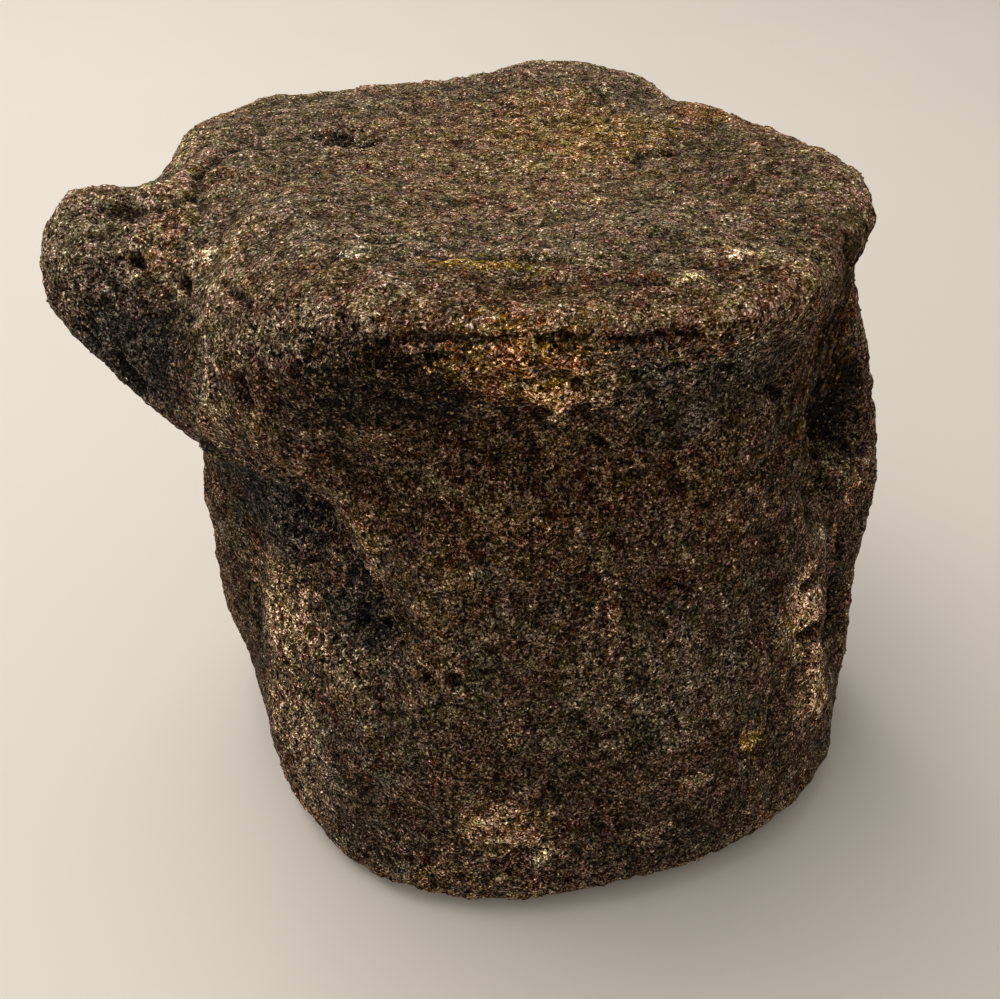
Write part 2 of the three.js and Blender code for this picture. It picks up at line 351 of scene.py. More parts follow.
LUMPS = (
    # Crumbs of cemented sand that the ground left on the bone.
    Mark((10.6, -66.8, 134.6), (13.4, -66.6, 132), 4.8, 1.8),
    Mark((19.4, -65.8, 134), (21, -65.6, 131.6), 3.6, 1.4),
    Mark((12.6, -65.4, 127.4), (14.6, -65.4, 126.4), 1.9, 1),
    Mark((0, -70.8, 144.6), (1.6, -70.6, 142.6), 2.2, 0.9),
    Mark((5, -70.2, 141.6), (7, -69.8, 140), 2.4, 1),
    Mark((10.4, -70.8, 145), (11, -70.2, 142.6), 1.9, 0.9),
    Mark((16, -69.6, 142.6), (17, -69, 140), 2.2, 0.9),
    Mark((35.4, -63.8, 115), (41, -62.6, 112), 1.3, 0.8),
    Mark((41, -63, 107.8), (48, -61.4, 103), 1.1, 0.6),
    Mark((48, -61.4, 103), (53.6, -59.6, 97), 1.1, 0.6),
    Mark((49, -57.8, 118.4), (55, -55.4, 112.4), 1.1, 0.6),
    Mark((52.4, -57.6, 110.8), (61.4, -53, 102), 1.1, 0.6),
    Mark((25.6, -72.3, 83.2), (26.4, -72.4, 82.4), 1.6, 1),
    Mark((12.6, -89, 22), (11, -88.8, 17), 1.7, 1),
    Mark((-58.6, -31.2, 144.4), (-59.4, -29.6, 145.4), 2.4, 1.4),
    Mark((45, -46, 152.1), (47.4, -47.4, 152), 1.7, 0.8),
    Mark((35.4, -57.8, 152), (38, -56.4, 152), 1.6, 0.7),
    Mark((23, -14.8, 149.7), (24, -14.2, 149.7), 2, 0.7),
    Mark((-61.4, -42, 105.6), (-59.8, -43.6, 103.8), 2.8, 1.6),
    # Worn crests: the edge of the left pedicle's scar and the broken right root.
    Mark((-27, -62.4, 104), (-22.4, -65, 88), 2.6, 0.9),
    Mark((77.4, -49.6, 72), (77, -51, 62), 2.6, 1.2),
    Mark((79.4, -55, 46), (79, -56.6, 36), 2.6, 1.2),
    Mark((82, -27, 86.2), (93.4, -22, 86.8), 1.8, 0.9),
)

# The way the torn fibres run in the groove of the broken right root, and where they are.
GRAIN = Vector((-0.2, -0.37, -0.9))
TORN = Patch((73, -36, 124), (16, 22, 32))

SPONGY = (
    # Where the dense outer bone is gone and the coarse spongy bone lies open.
    Patch((-42, -50, 94), (20, 15, 20)),
    Patch((-28, -62, 68), (10, 12, 24)),
    Patch((-46, -52, 62), (17, 16, 22), 0.9),
    Patch((-46, -62, 30), (18, 18, 24), 0.6),
    Patch((-84, -24, 134), (24, 22, 24), 0.35),
    Patch((-36, -66, 140), (26, 12, 11), 0.8),
    Patch((36, -66, 138), (24, 10, 9), 0.7),
    Patch((76, -52, 56), (7, 9, 24), 0.8),
    Patch((88, -28, 66), (12, 12, 22), 0.6),
    Patch((4, -88, 12), (60, 16, 12), 0.55),
    Patch((-34, 20, 151), (12, 8, 4), 0.8),
    Patch((90, -6, 60), (14, 20, 60), 0.45),
)

STAINS = (
    # The worn front face, darker along its lip, with its spots of mineral and painted shade in
    # its pitted spot.
    Stain(Tint.TAN, (4, 14, 150), (36, 44, 6), 0.5),
    Stain(Tint.UMBER, (62, 8, 151), (26, 36, 6), 0.4),
    Stain(Tint.UMBER, (20, -62, 150.6), (70, 13, 5), 0.7),
    Stain(Tint.PEAT, (-40, -54, 146), (24, 12, 10), 0.6),
    Stain(Tint.OCHRE, (22, 28, 150), (24, 24, 6), 0.34),
    Stain(Tint.PEAT, (68, -40, 150), (15, 17, 8), 0.55),
    Stain(Tint.RUST, (53, 38, 151), (9, 9, 4), 0.55),
    Stain(Tint.OCHRE, (-2, -50, 151.6), (12, 2.6, 4), 0.6),
    Stain(Tint.SAND, (45.6, -46.6, 152), (7, 3.2, 4), 0.75),
    Stain(Tint.SAND, (36.6, -57.2, 152), (6, 2.4, 4), 0.7),
    Stain(Tint.ROSE, (23.4, -14.6, 149.7), (3.4, 2, 4), 0.9),
    Stain(Tint.QUARTZ, (-27, -47.2, 151.4), (2.4, 1.2, 3), 0.95),
    Stain(Tint.SAND, (-59, -30.6, 144.6), (3.4, 3.4, 3.4), 0.9),
    Stain(Tint.SAND, (63.6, -21.7, 153), (5, 2.4, 4), 0.5),
    # Painted shade in the pitted spot.
    Stain(Tint.PAINTED_SHADE, (-34, 20, 151), (8, 4, 4), 0.6),
    # The canal floor: iron under the rim, painted shade under its lip, red earth below it,
    # grey-green at the foot.
    Stain(Tint.RED_EARTH, (8, -64, 108), (64, 14, 20), 0.8),
    Stain(Tint.OLIVE, (20, -78, 62), (60, 18, 26), 0.6),
    Stain(Tint.OLIVE, (-16, -66, 112), (12, 8, 6), 0.5),
    Stain(Tint.OLIVE, (30, -66, 100), (14, 8, 7), 0.4),
    Stain(Tint.PEAT, (24, -82, 28), (60, 18, 24), 0.45),
    Stain(Tint.MANGANESE, (-30, -78, 20), (14, 12, 20), 0.35),
    Stain(Tint.MANGANESE, (44, -82, 18), (26, 14, 12), 0.4),
    # Painted shade under the lip of the front rim.
    Stain(Tint.PAINTED_SHADE, (-19, -70, 136), (19, 9, 12), 0.8),
    Stain(Tint.PAINTED_SHADE, (-38, -65, 130), (14, 7, 13), 0.5),
    Stain(Tint.SLATE, (36, -64, 134), (26, 10, 14), 0.65),
    Stain(Tint.RUST, (8.4, -69, 138.6), (13.6, 7, 11.6), 0.95),
    Stain(Tint.RED_EARTH, (9, -68, 138), (2, 4, 9), 0.5),
    Stain(Tint.ROSE, (12, -66.6, 133), (5, 4, 4.4), 0.8),
    Stain(Tint.TAN, (20, -66.6, 137.6), (4.6, 5, 8.6), 0.7),
    Stain(Tint.TAN, (13.6, -65.4, 126.8), (2.6, 2.6, 1.8), 0.7),
    Stain(Tint.ROSE, (25, -71.6, 86), (3, 3, 9), 0.45),
    Stain(Tint.TAN, (2, -87, 28), (12, 6, 9), 0.75),
    Stain(Tint.SAND, (11.8, -88.8, 20), (3, 3, 5), 0.75),
    Stain(Tint.OCHRE, (61, -70, 39.6), (5, 4, 4), 0.75),
    Stain(Tint.TAN, (4.7, -81, 55), (2, 3, 5), 0.6),
    Stain(Tint.TAN, (46, -78, 35), (6, 4, 3), 0.5),
    Stain(Tint.TAN, (38, -83.6, 22), (7, 4, 2.6), 0.5),
    Stain(Tint.WORN, (44, -73, 64), (22, 12, 15), 0.3),
    Stain(Tint.WORN, (-44, -66, 27), (14, 14, 14), 0.45),
    # The left pedicle's scar: black with manganese above, tan spongy bone below.
    Stain(Tint.TAN, (-51, -47, 62), (16, 18, 14), 0.76),
    Stain(Tint.TAN, (-50, -60, 36), (11, 14, 16), 0.42),
    Stain(Tint.MANGANESE, (-51, -43, 90), (24, 20, 17), 0.8),
    Stain(Tint.MANGANESE, (-31, -60, 67), (8, 9, 24), 0.8),
    Stain(Tint.TAN, (-25.6, -63, 94), (3.4, 4, 11), 0.4),
    Stain(Tint.WORN, (-84, -16, 150), (24, 22, 17), 0.5),
    Stain(Tint.SLATE, (-88, -28, 132), (16, 18, 20), 0.5),
    Stain(Tint.MANGANESE, (-79, -37, 123), (24, 13, 16), 0.8),
    Stain(Tint.WORN, (-56, -49.5, 124), (3.6, 5, 17), 0.6),
    Stain(Tint.WORN, (-44, -57, 142), (17, 11, 7), 0.35),
    Stain(Tint.TAN, (-69, -22, 146), (6, 13, 9), 0.6),
    # The broken right root: painted shade in its hollow and holes, ochre ridge, rose-tan chipped
    # edge.
    Stain(Tint.PAINTED_SHADE, (82, -26, 102), (9, 11, 15), 0.85),
    Stain(Tint.MANGANESE, (73, -28, 126), (9, 12, 20), 0.55),
    Stain(Tint.PEAT, (90, -29, 66), (10, 9, 26), 0.75),
    Stain(Tint.RUST, (90, -27, 80), (3, 7, 6), 0.3),
    Stain(Tint.RUST, (86.6, -31, 68), (2.4, 5, 11), 0.4),
    Stain(Tint.ROSE, (74, -51, 66), (8, 8, 14), 0.9),
    Stain(Tint.ROSE, (79, -56.6, 41), (6.4, 7, 15), 0.95),
    # Painted shade in the holes at the root's foot.
    Stain(Tint.PAINTED_SHADE, (88.6, -34, 48), (7, 11, 17), 0.95),
    # The sides and the belly, unseen ground.
    Stain(Tint.SLATE, (86, 30, 60), (30, 40, 50), 0.6),
    Stain(Tint.RUST, (40, 70, 96), (26, 14, 16), 0.55),
    Stain(Tint.TAN, (-20, 74, 40), (26, 12, 14), 0.5),
    Stain(Tint.MANGANESE, (-50, 56, 110), (26, 16, 22), 0.6),
    Stain(Tint.OCHRE, (10, 84, 20), (20, 10, 9), 0.5),
)


@dataclass(frozen=True)
class FossilBoneFinish:
    """Fossil bone, soaked with iron and manganese and left matt by the ground.

    The outer bone has worn to a fine sponge, so the eye sees light threads of bone round pores of
    about a millimetre, blackened with painted shade, under clouds of brown, grey and rust. The
    real threads are 0.2 to 0.3 mm thick; threads, painted glints and specks are drawn coarser
    than that, so that they show.
    """

    pore_mm: float = 1.15
    coarse_pore_mm: float = 1.7
    lace_mm: float = 1.1
    speck_mm: float = 0.85
    twist_mm: float = 1.3
    small_stain_mm: float = 13.0
    worn_share: float = 0.86
    flank_gain: float = 7.0
    face_gain: float = 4.0
    least_light: float = 0.07
    grit_height: float = 2.2
    thread_height: float = 0.6
    pore_depth: float = 0.6
    thread: Noise = Noise(1 / 0.68, 2.0, 0.8, low=0.35, high=0.68, most=0.66)
    fibre: Noise = Noise(0.9, 2.0, 0.7, low=0.36, high=0.66, least=0.3, most=0.8)
    # The ground colour's clouds, the dust on the front face and the crumbled edges of stains.
    broad: Noise = Noise(0.045, 1.0, low=0.4, high=0.62)
    patchy: Noise = Noise(0.12, 2.0, 0.65, low=0.48, high=0.68)
    dusty: Noise = Noise(0.07, 2.0, 0.7, low=0.47, high=0.62, most=0.4)
    crumble: Noise = Noise(0.7, 3.0, 0.8, 0.3, 0.7, least=-0.55, most=0.55, clamp=False)
    # What makes the bone lighter and darker: soft mottles, glints that are painted highlights,
    # and crumbs that darken.
    mottle: Noise = Noise(0.3, 2.0, 0.6, low=0.35, high=0.65, least=0.62, most=1.38)
    painted_glint: Noise = Noise(1 / 0.6, 1.0, 0.6, low=0.57, high=0.72, least=0.88, most=3.3)
    crumb: Noise = Noise(1 / 2.4, 3.0, 0.75, low=0.38, high=0.5, least=0.4)
    # How the hue turns from place to place, with 0.5 for not at all.
    turn: Noise = Noise(0.2, 2.0, 0.7, low=0.35, high=0.65, least=0.48, most=0.53)
    stains: tuple[Stain, ...] = STAINS

    def material(self) -> Material:
        """Build the bone's material from its stains, pores and worn edges.

        Returns:
            The finished material.
        """
        material = new_material("fossil_bone")
        tree = material.node_tree
        corner = add(tree, "ShaderNodeTexCoord").outputs["Object"]
        place = add(tree, VECTOR, {0: corner, 1: METRES_TO_MM}, operation="MULTIPLY")
        twist = add(tree, NOISE, {"Vector": place, "Scale": 0.9, "Detail": 1.0})
        twist = add(tree, VECTOR, {0: twist.outputs["Color"], 1: (self.twist_mm,) * 3, 2: place},
                    operation="MULTIPLY_ADD")
        colour = self.clouds(tree, place)
        sponge, threads = self.sponge(tree, twist)
        height = self.height(tree, place, sponge, threads)
        threads = self.fibres(tree, place, threads)
        colour = self.weathered(tree, place, colour, sponge, threads)
        rough = add(tree, RANGE, {"Value": threads, "To Min": 0.92, "To Max": 0.6})
        bump = add(tree, "ShaderNodeBump", {"Height": height, "Distance": MM, "Strength": 1.0})
        return shade(material, {"Base Color": colour, "Roughness": rough, "Normal": bump,
                                "IOR": 1.5, "Specular IOR Level": 0.06})

    def clouds(self, tree: Tree, place: Node) -> Node:
        """Mix the ground colour of the bone and lay its stains over it.

        Args:
            tree: The tree.
            place: The place in mm.

        Returns:
            The colour.
        """
        drift = add(tree, VECTOR, {0: place, 1: push(tree, place, 0.06, 1.0, 9.0)},
                    operation="ADD")
        fray = push(tree, place, 0.4, 2.0, 6.0, 0.7)
        ragged = add(tree, VECTOR, {0: drift, 1: fray}, operation="ADD")
        near = add(tree, VECTOR, {0: place, 1: fray}, operation="ADD")
        face = add(tree, NAMED, attribute_name="worn_face").outputs["Fac"]
        face = add(tree, MATH, {0: face, 1: self.worn_share}, operation="MULTIPLY")
        dusty = add(tree, MATH, {0: self.dusty.level(tree, near), 1: face}, operation="MULTIPLY")
        broad = self.broad.level(tree, ragged)
        patchy = self.patchy.level(tree, near)
        colour = linear(Tint.PEAT.value)
        for cover, tint in ((broad, Tint.UMBER), (patchy, Tint.SLATE), (face, Tint.WORN),
                            (dusty, Tint.TAN)):
            colour = add(tree, MIX, {"Factor": cover, "A": colour, "B": linear(tint.value)},
                         data_type="RGBA")
        crumble = self.crumble.level(tree, place)
        outer = add(tree, MATH, {0: 1.1, 1: crumble}, operation="SUBTRACT")
        inner = add(tree, MATH, {0: 0.7, 1: crumble}, operation="SUBTRACT")
        for stain in self.stains:
            spread = tuple(1 / radius for radius in stain.radii)
            shift = tuple(-part * scale for part, scale in zip(stain.centre, spread))
            is_small = max(stain.radii) < self.small_stain_mm
            share = add(tree, VECTOR, {0: near if is_small else ragged, 1: spread, 2: shift},
                        operation="MULTIPLY_ADD")
            share = add(tree, VECTOR, {0: share}, operation="LENGTH")
            cover = add(tree, RANGE, {"Value": share.outputs["Value"], "From Min": outer,
                                      "From Max": inner, "To Max": stain.strength},
                        interpolation_type="SMOOTHSTEP")
            colour = add(tree, MIX, {"Factor": cover, "A": colour,
                                     "B": linear(stain.tint.value)}, data_type="RGBA")
        return colour

    def sponge(self, tree: Tree, twist: Node) -> tuple[Node, Node]:
        """Draw the open pores of the spongy bone and the threads between them.

        Args:
            tree: The tree.
            twist: The place in mm, a little twisted.

        Returns:
            The nodes that give the pores' depth and the threads, both from 0 to 1.
        """
        pores = []
        for size, least, seed in ((self.pore_mm, 0.66, 0.0), (self.coarse_pore_mm, 0.6, 40.0)):
            moved = add(tree, VECTOR, {0: twist, 1: (seed,) * 3}, operation="ADD")
            cell = add(tree, "ShaderNodeTexVoronoi", {"Vector": moved, "Scale": 1 / size})
            bowl = add(tree, RANGE, {"Value": cell.outputs["Distance"], "From Min": 0.52,
                                     "From Max": 0.3}, interpolation_type="SMOOTHSTEP")
            chance = add(tree, "ShaderNodeSeparateColor", {0: cell.outputs["Color"]})
            is_open = add(tree, RANGE, {"Value": chance.outputs[0], "From Min": least,
                                        "From Max": least + 0.12})
            pores.append(add(tree, MATH, {0: bowl, 1: is_open}, operation="MULTIPLY"))
        coarse = add(tree, NAMED, attribute_name="spongy").outputs["Fac"]
        coarse = add(tree, RANGE, {"Value": coarse, "To Min": 0.12})
        coarse = add(tree, MATH, {0: pores[1], 1: coarse}, operation="MULTIPLY")
        depth = add(tree, MATH, {0: pores[0], 1: coarse}, operation="MAXIMUM")
        lace = add(tree, NOISE, {"Vector": twist, "Scale": 1 / self.lace_mm, "Detail": 2.0,
                                 "Roughness": 0.7})
        lace = add(tree, MATH, {0: lace, 1: 0.5}, operation="SUBTRACT")
        lace = add(tree, MATH, {0: lace}, operation="ABSOLUTE")
        lace = add(tree, RANGE, {"Value": lace, "From Min": 0.13, "From Max": 0.0,
                                 "To Max": 0.5})
        thread = self.thread.level(tree, twist)
        return depth, add(tree, MATH, {0: thread, 1: lace}, operation="ADD")

    def fibres(self, tree: Tree, place: Node, threads: Node) -> Node:
        """Comb the threads into long fibres where the bone is torn along its grain.

        Args:
            tree: The tree.
            place: The place in mm.
            threads: The threads of bone.

        Returns:
            The threads with the fibres among them.
        """
        fibre = self.fibre.level(tree, comb(tree, place, (1.0, 1.0, 0.07)))
        fibrous = add(tree, NAMED, attribute_name="fibrous").outputs["Fac"]
        return add(tree, MIX, {"Factor": fibrous, "A": threads, "B": fibre}, data_type="FLOAT")

    def weathered(self, tree: Tree, place: Node, colour: Node, sponge: Node,
                  threads: Node) -> Node:
        """Lighten threads, crests and mineral specks, paint glints, and paint shade in pores,
        holes, creases.

        Args:
            tree: The tree.
            place: The place in mm.
            colour: The stained colour.
            sponge: The pores' depth.
            threads: The threads of bone.

        Returns:
            The weathered colour.
        """
        face = add(tree, NAMED, attribute_name="worn_face").outputs["Fac"]
        coarse = add(tree, NAMED, attribute_name="spongy").outputs["Fac"]
        # Flanks get a harder spread of light and dark threads than the up-facing face: partly a
        # smoother worn face, partly painted relief shade where light grazes the flanks.
        power = add(tree, RANGE, {"Value": face, "To Min": 3.0, "To Max": 2.1})
        power = add(tree, MATH, {0: coarse, 1: 0.9, 2: power}, operation="MULTIPLY_ADD")
        light = add(tree, MATH, {0: threads, 1: power}, operation="POWER")
        gain = add(tree, RANGE, {"Value": face, "To Min": self.flank_gain,
                                 "To Max": self.face_gain})
        open_gain = add(tree, RANGE, {"Value": coarse, "To Min": 1.0, "To Max": 1.6})
        gain = add(tree, MATH, {0: gain, 1: open_gain}, operation="MULTIPLY")
        light = add(tree, MATH, {0: light, 1: gain, 2: self.least_light},
                    operation="MULTIPLY_ADD")
        # Painted highlight: the glint noise brightens small spots as if they caught the light.
        for noise in (self.mottle, self.painted_glint, self.crumb):
            light = add(tree, MATH, {0: light, 1: noise.level(tree, place)},
                        operation="MULTIPLY")
        colour = add(tree, VECTOR, {0: colour, "Scale": light}, operation="SCALE")
        grain = add(tree, NOISE, {"Vector": place, "Scale": 0.75, "Detail": 1.0})
        grain = add(tree, VECTOR,
                    {0: grain.outputs["Color"], 1: (0.44, 0.44, 0.6), 2: (0.78, 0.78, 0.7)},
                    operation="MULTIPLY_ADD")
        colour = add(tree, VECTOR, {0: colour, 1: grain}, operation="MULTIPLY")
        pale = add(tree, RANGE, {"Value": light, "From Min": 0.3, "From Max": 3.4,
                                 "To Min": 1.42, "To Max": 0.74})
        colour = add(tree, "ShaderNodeHueSaturation",
                     {"Color": colour, "Saturation": pale, "Hue": self.turn.level(tree, place)})
        # Proud crests and ridges are lightened as rubbed edges, and sunken places are darkened as
        # painted shade in creases and pits.
        for name, reach, least, most in (("crest", 0.4, 0.4, 1.6), ("ridge", 1.6, 0.68, 1.12)):
            proud = add(tree, NAMED, attribute_name=name).outputs["Fac"]
            wear_and_shade = add(tree, RANGE, {"Value": proud, "From Min": -reach, "From Max": reach,
                                     "To Min": least, "To Max": most})
            colour = add(tree, VECTOR, {0: colour, "Scale": wear_and_shade}, operation="SCALE")
        # Painted shade: the pores' bowls, less on the up-facing face, and the sunk marks are
        # mixed towards black. The specks are the bone's own pale mineral.
        pore_shade_strength = add(tree, RANGE, {"Value": face, "To Min": 0.93, "To Max": 0.45})
        pore_shade = add(tree, MATH, {0: sponge, 1: pore_shade_strength}, operation="MULTIPLY")
        hollow = add(tree, NAMED, attribute_name="hollow").outputs["Fac"]
        spots = self.specks(tree, place, coarse)
        for cover, tint in ((pore_shade, Tint.PAINTED_SHADE), (hollow, Tint.PAINTED_SHADE), (spots, Tint.SAND)):
            colour = add(tree, MIX, {"Factor": cover, "A": colour, "B": linear(tint.value)},
                         data_type="RGBA")
        return colour

    def specks(self, tree: Tree, place: Node, coarse: Socket) -> Node:
        """Strew pale mineral specks, more and brighter ones on open spongy bone.

        Args:
            tree: The tree.
            place: The place in mm.
            coarse: The share of open spongy bone.

        Returns:
            The share of speck, from 0 to 1.
        """
        cell = add(tree, "ShaderNodeTexVoronoi", {"Vector": place, "Scale": 1 / self.speck_mm})
        spot = add(tree, RANGE, {"Value": cell.outputs["Distance"], "From Min": 0.42,
                                 "From Max": 0.22})
        chance = add(tree, "ShaderNodeSeparateColor", {0: cell.outputs["Color"]})
        least = add(tree, RANGE, {"Value": coarse, "To Min": 0.88, "To Max": 0.78})
        rare = add(tree, MATH, {0: chance.outputs[1], 1: least}, operation="GREATER_THAN")
        spot = add(tree, MATH, {0: spot, 1: rare}, operation="MULTIPLY")
        bright = add(tree, RANGE, {"Value": coarse, "To Min": 0.42, "To Max": 0.7})
        return add(tree, MATH, {0: spot, 1: bright}, operation="MULTIPLY")

    def height(self, tree: Tree, place: Node, sponge: Node, threads: Node) -> Node:
        """Add up the relief that is finer than the mesh, in mm.

        Args:
            tree: The tree.
            place: The place in mm.
            sponge: The pores' depth.
            threads: The threads of bone.

        Returns:
            The height.
        """
        rise = add(tree, NOISE, {"Vector": place, "Scale": 0.7, "Detail": 2.0,
                                 "Roughness": 0.75})
        rise = add(tree, MATH, {0: rise, 1: self.grit_height}, operation="MULTIPLY")
        for part, height in ((threads, self.thread_height), (sponge, -self.pore_depth)):
            rise = add(tree, MATH, {0: part, 1: height, 2: rise}, operation="MULTIPLY_ADD")
        return rise


@dataclass(frozen=True)
class SandFinish:
    """Quartz and feldspar sand, held in the bone's pores; each grain has its own pale colour."""

    def material(self) -> Material:
        """Build the sand's material.

        Returns:
            The finished material.
        """
        material = new_material("quartz_sand")
        tree = material.node_tree
        corner = add(tree, "ShaderNodeTexCoord").outputs["Object"]
        share = Noise(380.0, 1.0, low=0.35, high=0.65).level(tree, corner)
        colour = add(tree, MIX, {"Factor": share, "A": linear(Tint.PEAT.value),
                                 "B": linear(Tint.TAN.value)}, data_type="RGBA")
        return shade(material, {"Base Color": colour, "Roughness": 0.45, "IOR": 1.54})


@dataclass(frozen=True)
class LimedTableFinish:
    """A matt off-white painted board, even enough to leave the bone alone in the eye."""

    pale: str = "#e4ded4"
    paler: str = "#e9e3d9"

    def material(self) -> Material:
        """Build the floor's material.

        Returns:
            The finished material.
        """
        material = new_material("painted_board")
        tree = material.node_tree
        corner = add(tree, "ShaderNodeTexCoord").outputs["Object"]
        cloud = add(tree, NOISE, {"Vector": corner, "Scale": 6.0, "Detail": 3.0})
        colour = add(tree, MIX, {"Factor": cloud, "A": linear(self.pale),
                                 "B": linear(self.paler)}, data_type="RGBA")
        return shade(material, {"Base Color": colour, "Roughness": 0.55})


@dataclass
class VertebraSkin:
    """The bone itself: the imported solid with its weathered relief, in mm."""

    node: str = "vertebra"
    voxel: float = 0.85
    triangles: int = 190_000
    broad_relief: float = 0.5
    lump_relief: float = 0.55
    grain_relief: float = 0.6
    pore_depth: float = 1.2
    pore_spacing: float = 2.9
    fibre_relief: float = 1.2
    settle: float = 0.1

    def build(self, finish: FossilBoneFinish) -> Piece:
        """Make the skin, dress it and put it in the node's place.

        Args:
            finish: The bone's finish.

        Returns:
            The finished piece.
        """
        skin = self.base(finish.material())
        relief = skin.modifiers.new("relief", "NODES")
        relief.node_group = self.relief_tree(skin.data.materials[0])
        set_sizes(relief, {
            "Broad relief": self.broad_relief, "Lump relief": self.lump_relief,
            "Grain relief": self.grain_relief, "Pore depth": self.pore_depth,
            "Pore spacing": self.pore_spacing, "Fibre relief": self.fibre_relief,
            "Settle": self.settle,
        })
        thin = skin.modifiers.new("thin", "DECIMATE")
        thin.ratio = self.share_kept(skin)
        wear_and_shade = skin.modifiers.new("wear_and_crease_shade", "NODES")
        wear_and_shade.node_group = self.wear_and_shade_tree(skin.data.materials[0])
        skin = freeze(skin, "vertebra_skin")
        skin.data.shade_smooth()
        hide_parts(self.node)
        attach(skin, "root")
        LOG.info("%s: %d triangles", skin.name, len(skin.data.polygons))
        return skin

    def base(self, material: Material) -> Piece:
        """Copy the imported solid, merge it and give it an even, fine mesh.

        Args:
            material: The material that the copy gets.

        Returns:
            The copy, with its first modifiers still on it.
        """
        form = bmesh.new()
        form.from_mesh(bpy.data.objects[self.node].data)
        bmesh.ops.remove_doubles(form, verts=form.verts, dist=1e-6)
        mesh = bpy.data.meshes.new("bone_base")
        form.to_mesh(mesh)
        form.free()
        mesh.materials.clear()
        mesh.materials.append(material)
        skin = bpy.data.objects.new("bone_base", mesh)
        bpy.context.collection.objects.link(skin)
        round_off = skin.modifiers.new("round", "SUBSURF")
        round_off.levels = round_off.render_levels = 1
        even = skin.modifiers.new("even", "REMESH")
        even.mode = "VOXEL"
        even.voxel_size = self.voxel * MM
        even.use_smooth_shade = True
        smooth = skin.modifiers.new("smooth", "SMOOTH")
        smooth.iterations = 1
        return skin

    def share_kept(self, skin: Piece) -> float:
        """Work out which share of the fine mesh's triangles the piece keeps.

        Args:
            skin: The piece with its modifiers live.

        Returns:
            The ratio for the Decimate modifier.
        """
        thin = skin.modifiers["thin"]
        thin.show_viewport = False
        fine = skin.evaluated_get(bpy.context.evaluated_depsgraph_get()).data
        fine.calc_loop_triangles()
        share = min(1.0, self.triangles / len(fine.loop_triangles))
        LOG.info("fine mesh: %d triangles", len(fine.loop_triangles))
        thin.show_viewport = True
        return share

    def relief_tree(self, material: Material) -> Tree:
        """Build the tree that moves the surface in and out along its normals.

        Args:
            material: The bone's material.

        Returns:
            The Geometry Nodes tree.
        """
        tree = new_tree("weathered_relief", (
            "Broad relief", "Lump relief", "Grain relief", "Pore depth", "Pore spacing",
            "Fibre relief", "Settle",
        ))
        size = add(tree, "NodeGroupInput").outputs
        place = add(tree, VECTOR, {0: add(tree, "GeometryNodeInputPosition"), 1: METRES_TO_MM},
                    operation="MULTIPLY")
        spongy = self.spongy_share(tree, place)
        height = self.noise_height(tree, place, spongy, size)
        height = self.pores(tree, place, spongy, size, height)
        fibrous = self.fibrous_share(tree, place)
        height = self.fibres(tree, place, fibrous, size, height)
        height = add(tree, MATH, {0: height, 1: size["Settle"]}, operation="SUBTRACT")
        fray = push(tree, place, 0.3, 3.0, 1.3)
        ragged = add(tree, VECTOR, {0: place, 1: fray}, operation="ADD")
        depth = self.marks(tree, ragged, HOLLOWS, Relief.HOLLOW)
        for part in (depth, self.marks(tree, ragged, LUMPS, Relief.LUMP)):
            height = add(tree, MATH, {0: height, 1: part}, operation="ADD")
        step = add(tree, MATH, {0: height, 1: MM}, operation="MULTIPLY")
        normal = add(tree, "GeometryNodeInputNormal")
        offset = add(tree, VECTOR, {0: normal, "Scale": step}, operation="SCALE")
        # How deep the sunk marks go, kept so that the material paints shade into the holes.
        hollow = add(tree, RANGE, {"Value": depth, "From Min": -0.6, "From Max": -3.6,
                                   "To Max": 0.6})
        up = add(tree, "ShaderNodeSeparateXYZ", {0: normal}).outputs["Z"]
        face = add(tree, RANGE, {"Value": up, "From Min": 0.3, "From Max": 0.72})
        kept = size["Geometry"]
        for name, value in (("spongy", spongy), ("hollow", hollow), ("worn_face", face),
                            ("fibrous", fibrous)):
            kept = add(tree, STORE, {"Geometry": kept, "Name": name, "Value": value},
                       data_type="FLOAT", domain="POINT")
        moved = add(tree, "GeometryNodeSetPosition", {"Geometry": kept, "Offset": offset})
        finish_tree(tree, self.above_floor(tree, moved), material)
        return tree

    def above_floor(self, tree: Tree, geometry: Node | Socket) -> Node:
        """Lift what relief or thinning has pushed below the floor back onto it.

        Args:
            tree: The tree.
            geometry: The node or socket that gives the geometry.

        Returns:
            The geometry on the floor.
        """
        split = add(tree, "ShaderNodeSeparateXYZ",
                    {0: add(tree, "GeometryNodeInputPosition")}).outputs
        floor = add(tree, MATH, {0: split["Z"], 1: 0.0}, operation="MAXIMUM")
        rest = add(tree, "ShaderNodeCombineXYZ", {0: split["X"], 1: split["Y"], 2: floor})
        return add(tree, "GeometryNodeSetPosition", {"Geometry": geometry, "Position": rest})

    def spongy_share(self, tree: Tree, place: Node) -> Node:
        """Give the share of open spongy bone at each place.

        Args:
            tree: The tree.
            place: The place in mm.

        Returns:
            The share, from 0 to 1.
        """
        drift = add(tree, VECTOR, {0: place, 1: push(tree, place, 0.16, 3.0, 6.0)},
                    operation="ADD")
        share = 0.0
        for patch in SPONGY:
            cover = add(tree, RANGE, {"Value": patch.distance(tree, drift), "From Min": 1.15,
                                      "From Max": 0.7, "To Max": patch.strength},
                        interpolation_type="SMOOTHSTEP")
            share = add(tree, MATH, {0: share, 1: cover}, operation="MAXIMUM")
        return share

